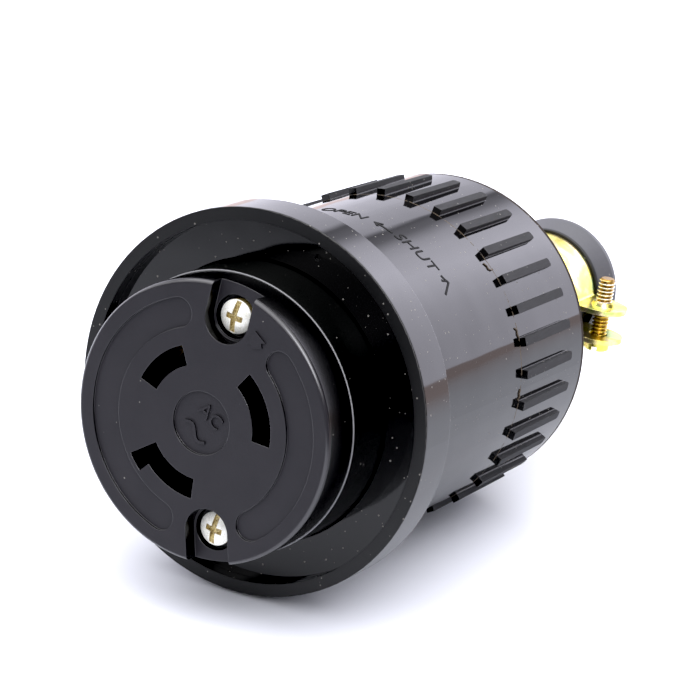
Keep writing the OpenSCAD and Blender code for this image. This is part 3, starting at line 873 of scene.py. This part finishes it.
def mark_face():
    """A plain supply sign on the sunk centre disc and a small arrow beside the upper screw."""
    flat = bmesh.new()
    add_word(flat, "AC", SUPPLY_LETTER_H)
    place = on_face(*SUPPLY_AT, DISC_MARK_TURN, -PANEL_DEPTH)
    raise_flat("mark_supply", flat, place, DISC_MARK_HIGH, "face_mark")
    wave = []
    for step in range(WAVE_STEPS + 1):
        share = step / WAVE_STEPS
        wave.append((share * WAVE_L - WAVE_L / 2, WAVE_H * math.sin(share * math.tau)))
    flat = bmesh.new()
    add_line(flat, wave, WAVE_W)
    place = on_face(*WAVE_AT, DISC_MARK_TURN, -PANEL_DEPTH)
    raise_flat("mark_wave", flat, place, DISC_MARK_HIGH, "face_mark")
    flat = bmesh.new()
    flat.faces.new([flat.verts.new((*corner, 0)) for corner in FACE_ARROW])
    place = on_face(0, 0, 0)
    raise_flat("mark_arrow_face", flat, place, FACE_MARK_HIGH, "face_mark")


# Slivers of flash: direction, depth, then the curl in mm, with their width and height
SLIVERS = (
    (45.0, 64.4, [(-1.3, -0.3), (-0.6, 0.2), (0.1, 0.1), (0.5, 0.7), (0.4, 1.5)]),
    (21.0, 65.2, [(-0.7, -0.4), (-0.1, 0.3), (0.7, 0.1), (1.3, 0.5)]),
    (-1.8, 65.3, [(-1.2, 0.3), (-0.4, 0.0), (0.4, 0.3), (1.0, -0.2)]),
)
SLIVER_W = 0.26
SLIVER_HIGH = 0.22


def trim_flash():
    """Slivers left along the parting line at the fronts of the ribs."""
    for number, (angle, depth, curl) in enumerate(SLIVERS):
        flat = bmesh.new()
        add_line(flat, curl, SLIVER_W)
        place = on_shell(angle, depth)
        raise_flat(f"flash_{number}", flat, place, SLIVER_HIGH, "flash_plastic")


# Clamp screws
def thread_radius(z, turn):
    """Radius of the thread at a height over the head and a direction, in turns."""
    phase = (z / SCREW_PITCH - turn) % 1.0
    ridge = min(max(THREAD_PEAK - THREAD_SLOPE * abs(phase - 0.5), 0.0), 1.0)
    runout = min(max((z - THREAD_START) / SCREW_PITCH, 0.0), 1.0)
    tip = SCREW_TIP_R + max(SCREW_L - z, 0.0) * TIP_SLOPE
    return min(SCREW_ROOT_R + (SCREW_R - SCREW_ROOT_R) * ridge * runout, tip)


def screw_rows():
    """Rows of height and radius around a clamp screw, from the end of its head to its tip."""
    rings = [(-HEAD_H, HEAD_R - HEAD_ROUND)]
    for step in range(1, ROUND_STEPS + 1):
        turn = step / ROUND_STEPS * math.pi / 2
        rings.append((
            -HEAD_H + HEAD_ROUND * (1 - math.cos(turn)),
            HEAD_R - HEAD_ROUND * (1 - math.sin(turn)),
        ))
    rings.append((0.0, HEAD_R))
    rows = [[ring] * AROUND for ring in rings]
    steps = round(SCREW_L / SCREW_PITCH * PITCH_STEPS)
    for step in range(steps + 1):
        z = SCREW_L * step / steps
        rows.append([(z, thread_radius(z, place / AROUND)) for place in range(AROUND)])
    return rows


def make_clamp_screw(name, side):
    """Slotted cheese-head screw with its thread, in place of the plain one."""
    screw = bmesh.new()
    loops = []
    for row in screw_rows():
        loop = []
        for place, (z, radius) in enumerate(row):
            point = polar(radius, place / AROUND * math.tau)
            loop.append(screw.verts.new((*point, z)))
        loops.append(loop)
    for low, high in zip(loops, loops[1:]):
        for place in range(AROUND):
            after = (place + 1) % AROUND
            screw.faces.new((low[place], low[after], high[after], high[place]))
    screw.faces.new(loops[0][::-1])
    screw.faces.new(loops[-1])
    slot = bmesh.new()
    bmesh.ops.create_cube(slot, size=1.0)
    bmesh.ops.scale(slot, vec=(4 * HEAD_R, SLOT_W, 2 * SLOT_DEPTH), verts=slot.verts)
    turn = Matrix.Rotation(math.radians(SLOT_TURN), 3, "Z")
    bmesh.ops.rotate(slot, matrix=turn, verts=slot.verts)
    bmesh.ops.translate(slot, vec=(0, 0, -HEAD_H), verts=slot.verts)
    cut(screw, slot)
    offset = side * CLAMP_SCREW_X * CLAMP_RIGHT + CLAMP_SCREW_Y * CLAMP_UP + CLAMP_DEPTH * BACK
    turned = Matrix((CLAMP_RIGHT, BACK, CLAMP_UP)).transposed()
    for vertex in screw.verts:
        vertex.co = FACE_CENTRE + MM * (offset + turned @ vertex.co)
    piece = finish_piece(name + "_threaded", screw, "clamp_screw")
    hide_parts(name)


def make_pieces():
    mark_shell()
    sink_panels()
    mark_face()
    trim_flash()
    make_clamp_screw("clamp_screw_right", 1)
    make_clamp_screw("clamp_screw_left", -1)


# Floor and light
FLOOR_X = (-1.6, 0.3)
FLOOR_Y = (-1.6, 0.46)
FLOOR_SEEN = (0.84, 0.855, 0.92, 1)
FLOOR_IN_MIRRORS = (0.7, 0.715, 0.77, 1)
# Mirrors and bounced light find the floor fading out from these distances on
FADE_RIGHT = (0.1, 0.28)
FADE_FRONT = (-0.25, -0.55)


def make_floor():
    (left, right), (front, back) = FLOOR_X, FLOOR_Y
    corners = [(left, front, 0), (right, front, 0), (right, back, 0), (left, back, 0)]
    mesh = bpy.data.meshes.new("floor")
    mesh.from_pydata(corners, [], [(0, 1, 2, 3)])
    floor = bpy.data.objects.new("floor", mesh)
    bpy.context.scene.collection.objects.link(floor)
    surface = Surface("floor", roughness=0.6)
    mesh.materials.append(surface.material)
    place = surface.add("SeparateXYZ", {0: surface.add("TexCoord", {}).outputs["Object"]}).outputs
    fade = surface.most(
        surface.rise(place["X"], *FADE_RIGHT),
        surface.rise(place["Y"], *FADE_FRONT),
    )
    seen = surface.add("LightPath", {}).outputs["Is Camera Ray"]
    surface.set(base_color=surface.mix(seen, FLOOR_IN_MIRRORS, FLOOR_SEEN))
    clear = surface.times(fade, surface.minus(1.0, seen))
    gone = surface.add("BsdfTransparent", {}).outputs[0]
    ends = {0: clear, 1: surface.shader.outputs[0], 2: gone}
    out = surface.tree.nodes["Material Output"].inputs["Surface"]
    surface.feed(out, surface.add("MixShader", ends).outputs[0])


# The studio is a sky. Behind the part stands a white wall, brightest a little to the right,
# with a dark gap and a weaker panel to the left of it. A large softbox hangs overhead,
# and over the dark room in front is a light.
# Wall: direction from straight behind the part, in degrees to the right, and brightness
WALL = (
    (-60, 1.6),
    (-30, 1.6),
    (-21, 1.75),
    (-16.5, 1.75),
    (-14.5, 0.5),
    (-10.5, 0.85),
    (-5, 2.5),
    (0, 3.3),
    (4, 3.8),
    (9, 4.4),
    (13, 4.4),
    (18, 3.9),
    (26, 3.1),
    (31, 2.6),
    (38, 2.4),
    (48, 0.1),
)
WALL_TINT = (1.0, 0.985, 1.12)
BRIGHTEST = 5.0
GROUND = (1.4, 1.15, 1.15)
SHADE = (0.4, 0.39, 0.42)
SOFTBOX = (3.4, 3.4, 3.5)
FRONT = (2.0, 2.0, 2.05)
ROOM = (0.03, 0.03, 0.033)
SEEN = (1, 1, 1)
# A lamp in front, over the camera's right, that only mirrors show
KEY = (9.0, 9.0, 9.6)
KEY_TOWARDS = Vector((0.53, -0.55, 0.65)).normalized()
KEY_SPREAD = (0.94, 0.97)
# Sines of the heights over the horizon between which one gives way to the next:
# foot and top of the wall, edges of the softbox and the front light
WALL_FOOT = (-0.03, -0.04)
WALL_TOP = (0.52, 0.55)
BOX_EDGE = (0.66, 0.71)
FRONT_EDGE = (0.28, 0.38)
# How far forward a direction looks where the wall gives way to the room
ROOM_EDGE = (0.1, -0.2)

# Shadows below this level print black
BLACK_LEVEL = 0.004


def lit(color):
    return [channel / BRIGHTEST for channel in color] + [1]


def make_world():
    world = bpy.data.worlds.new("studio")
    world.use_nodes = True
    bpy.context.scene.world = world
    sky = Nodes(world.node_tree)
    towards = sky.add("TexCoord", {}).outputs["Generated"]
    direction = sky.add("SeparateXYZ", {0: towards}).outputs
    path = sky.add("LightPath", {}).outputs
    side = sky.math("DEGREES", sky.math("ARCTAN2", direction["X"], direction["Y"]))
    left, right = WALL[0][0], WALL[-1][0]
    stops = []
    for turn, power in WALL:
        stops.append(((turn - left) / (right - left), lit([power * tint for tint in WALL_TINT])))
    color = sky.ramp(sky.math("DIVIDE", sky.minus(side, left), right - left), *stops)
    color = sky.mix(sky.rise(direction["Z"], *WALL_FOOT), color, lit(GROUND))
    color = sky.mix(sky.rise(direction["Z"], *WALL_TOP), color, lit(SHADE))
    room = sky.mix(sky.rise(direction["Z"], *FRONT_EDGE), lit(ROOM), lit(FRONT))
    color = sky.mix(sky.rise(direction["Y"], *ROOM_EDGE), color, room)
    color = sky.mix(sky.rise(direction["Z"], *BOX_EDGE), color, lit(SOFTBOX))
    key = sky.times(sky.rise(sky.dot(towards, KEY_TOWARDS), *KEY_SPREAD), path["Is Glossy Ray"])
    color = sky.mix(key, color, lit(KEY))
    color = sky.mix(path["Is Camera Ray"], color, lit(SEEN))
    background = sky.tree.nodes["Background"].inputs
    sky.feed(background["Color"], color)
    sky.feed(background["Strength"], BRIGHTEST)


make_camera()
view = bpy.context.scene.view_settings
view.view_transform = "Standard"
view.use_curve_mapping = True
view.curve_mapping.black_level = [BLACK_LEVEL] * 3
make_floor()
make_world()
dress_nodes()
make_pieces()
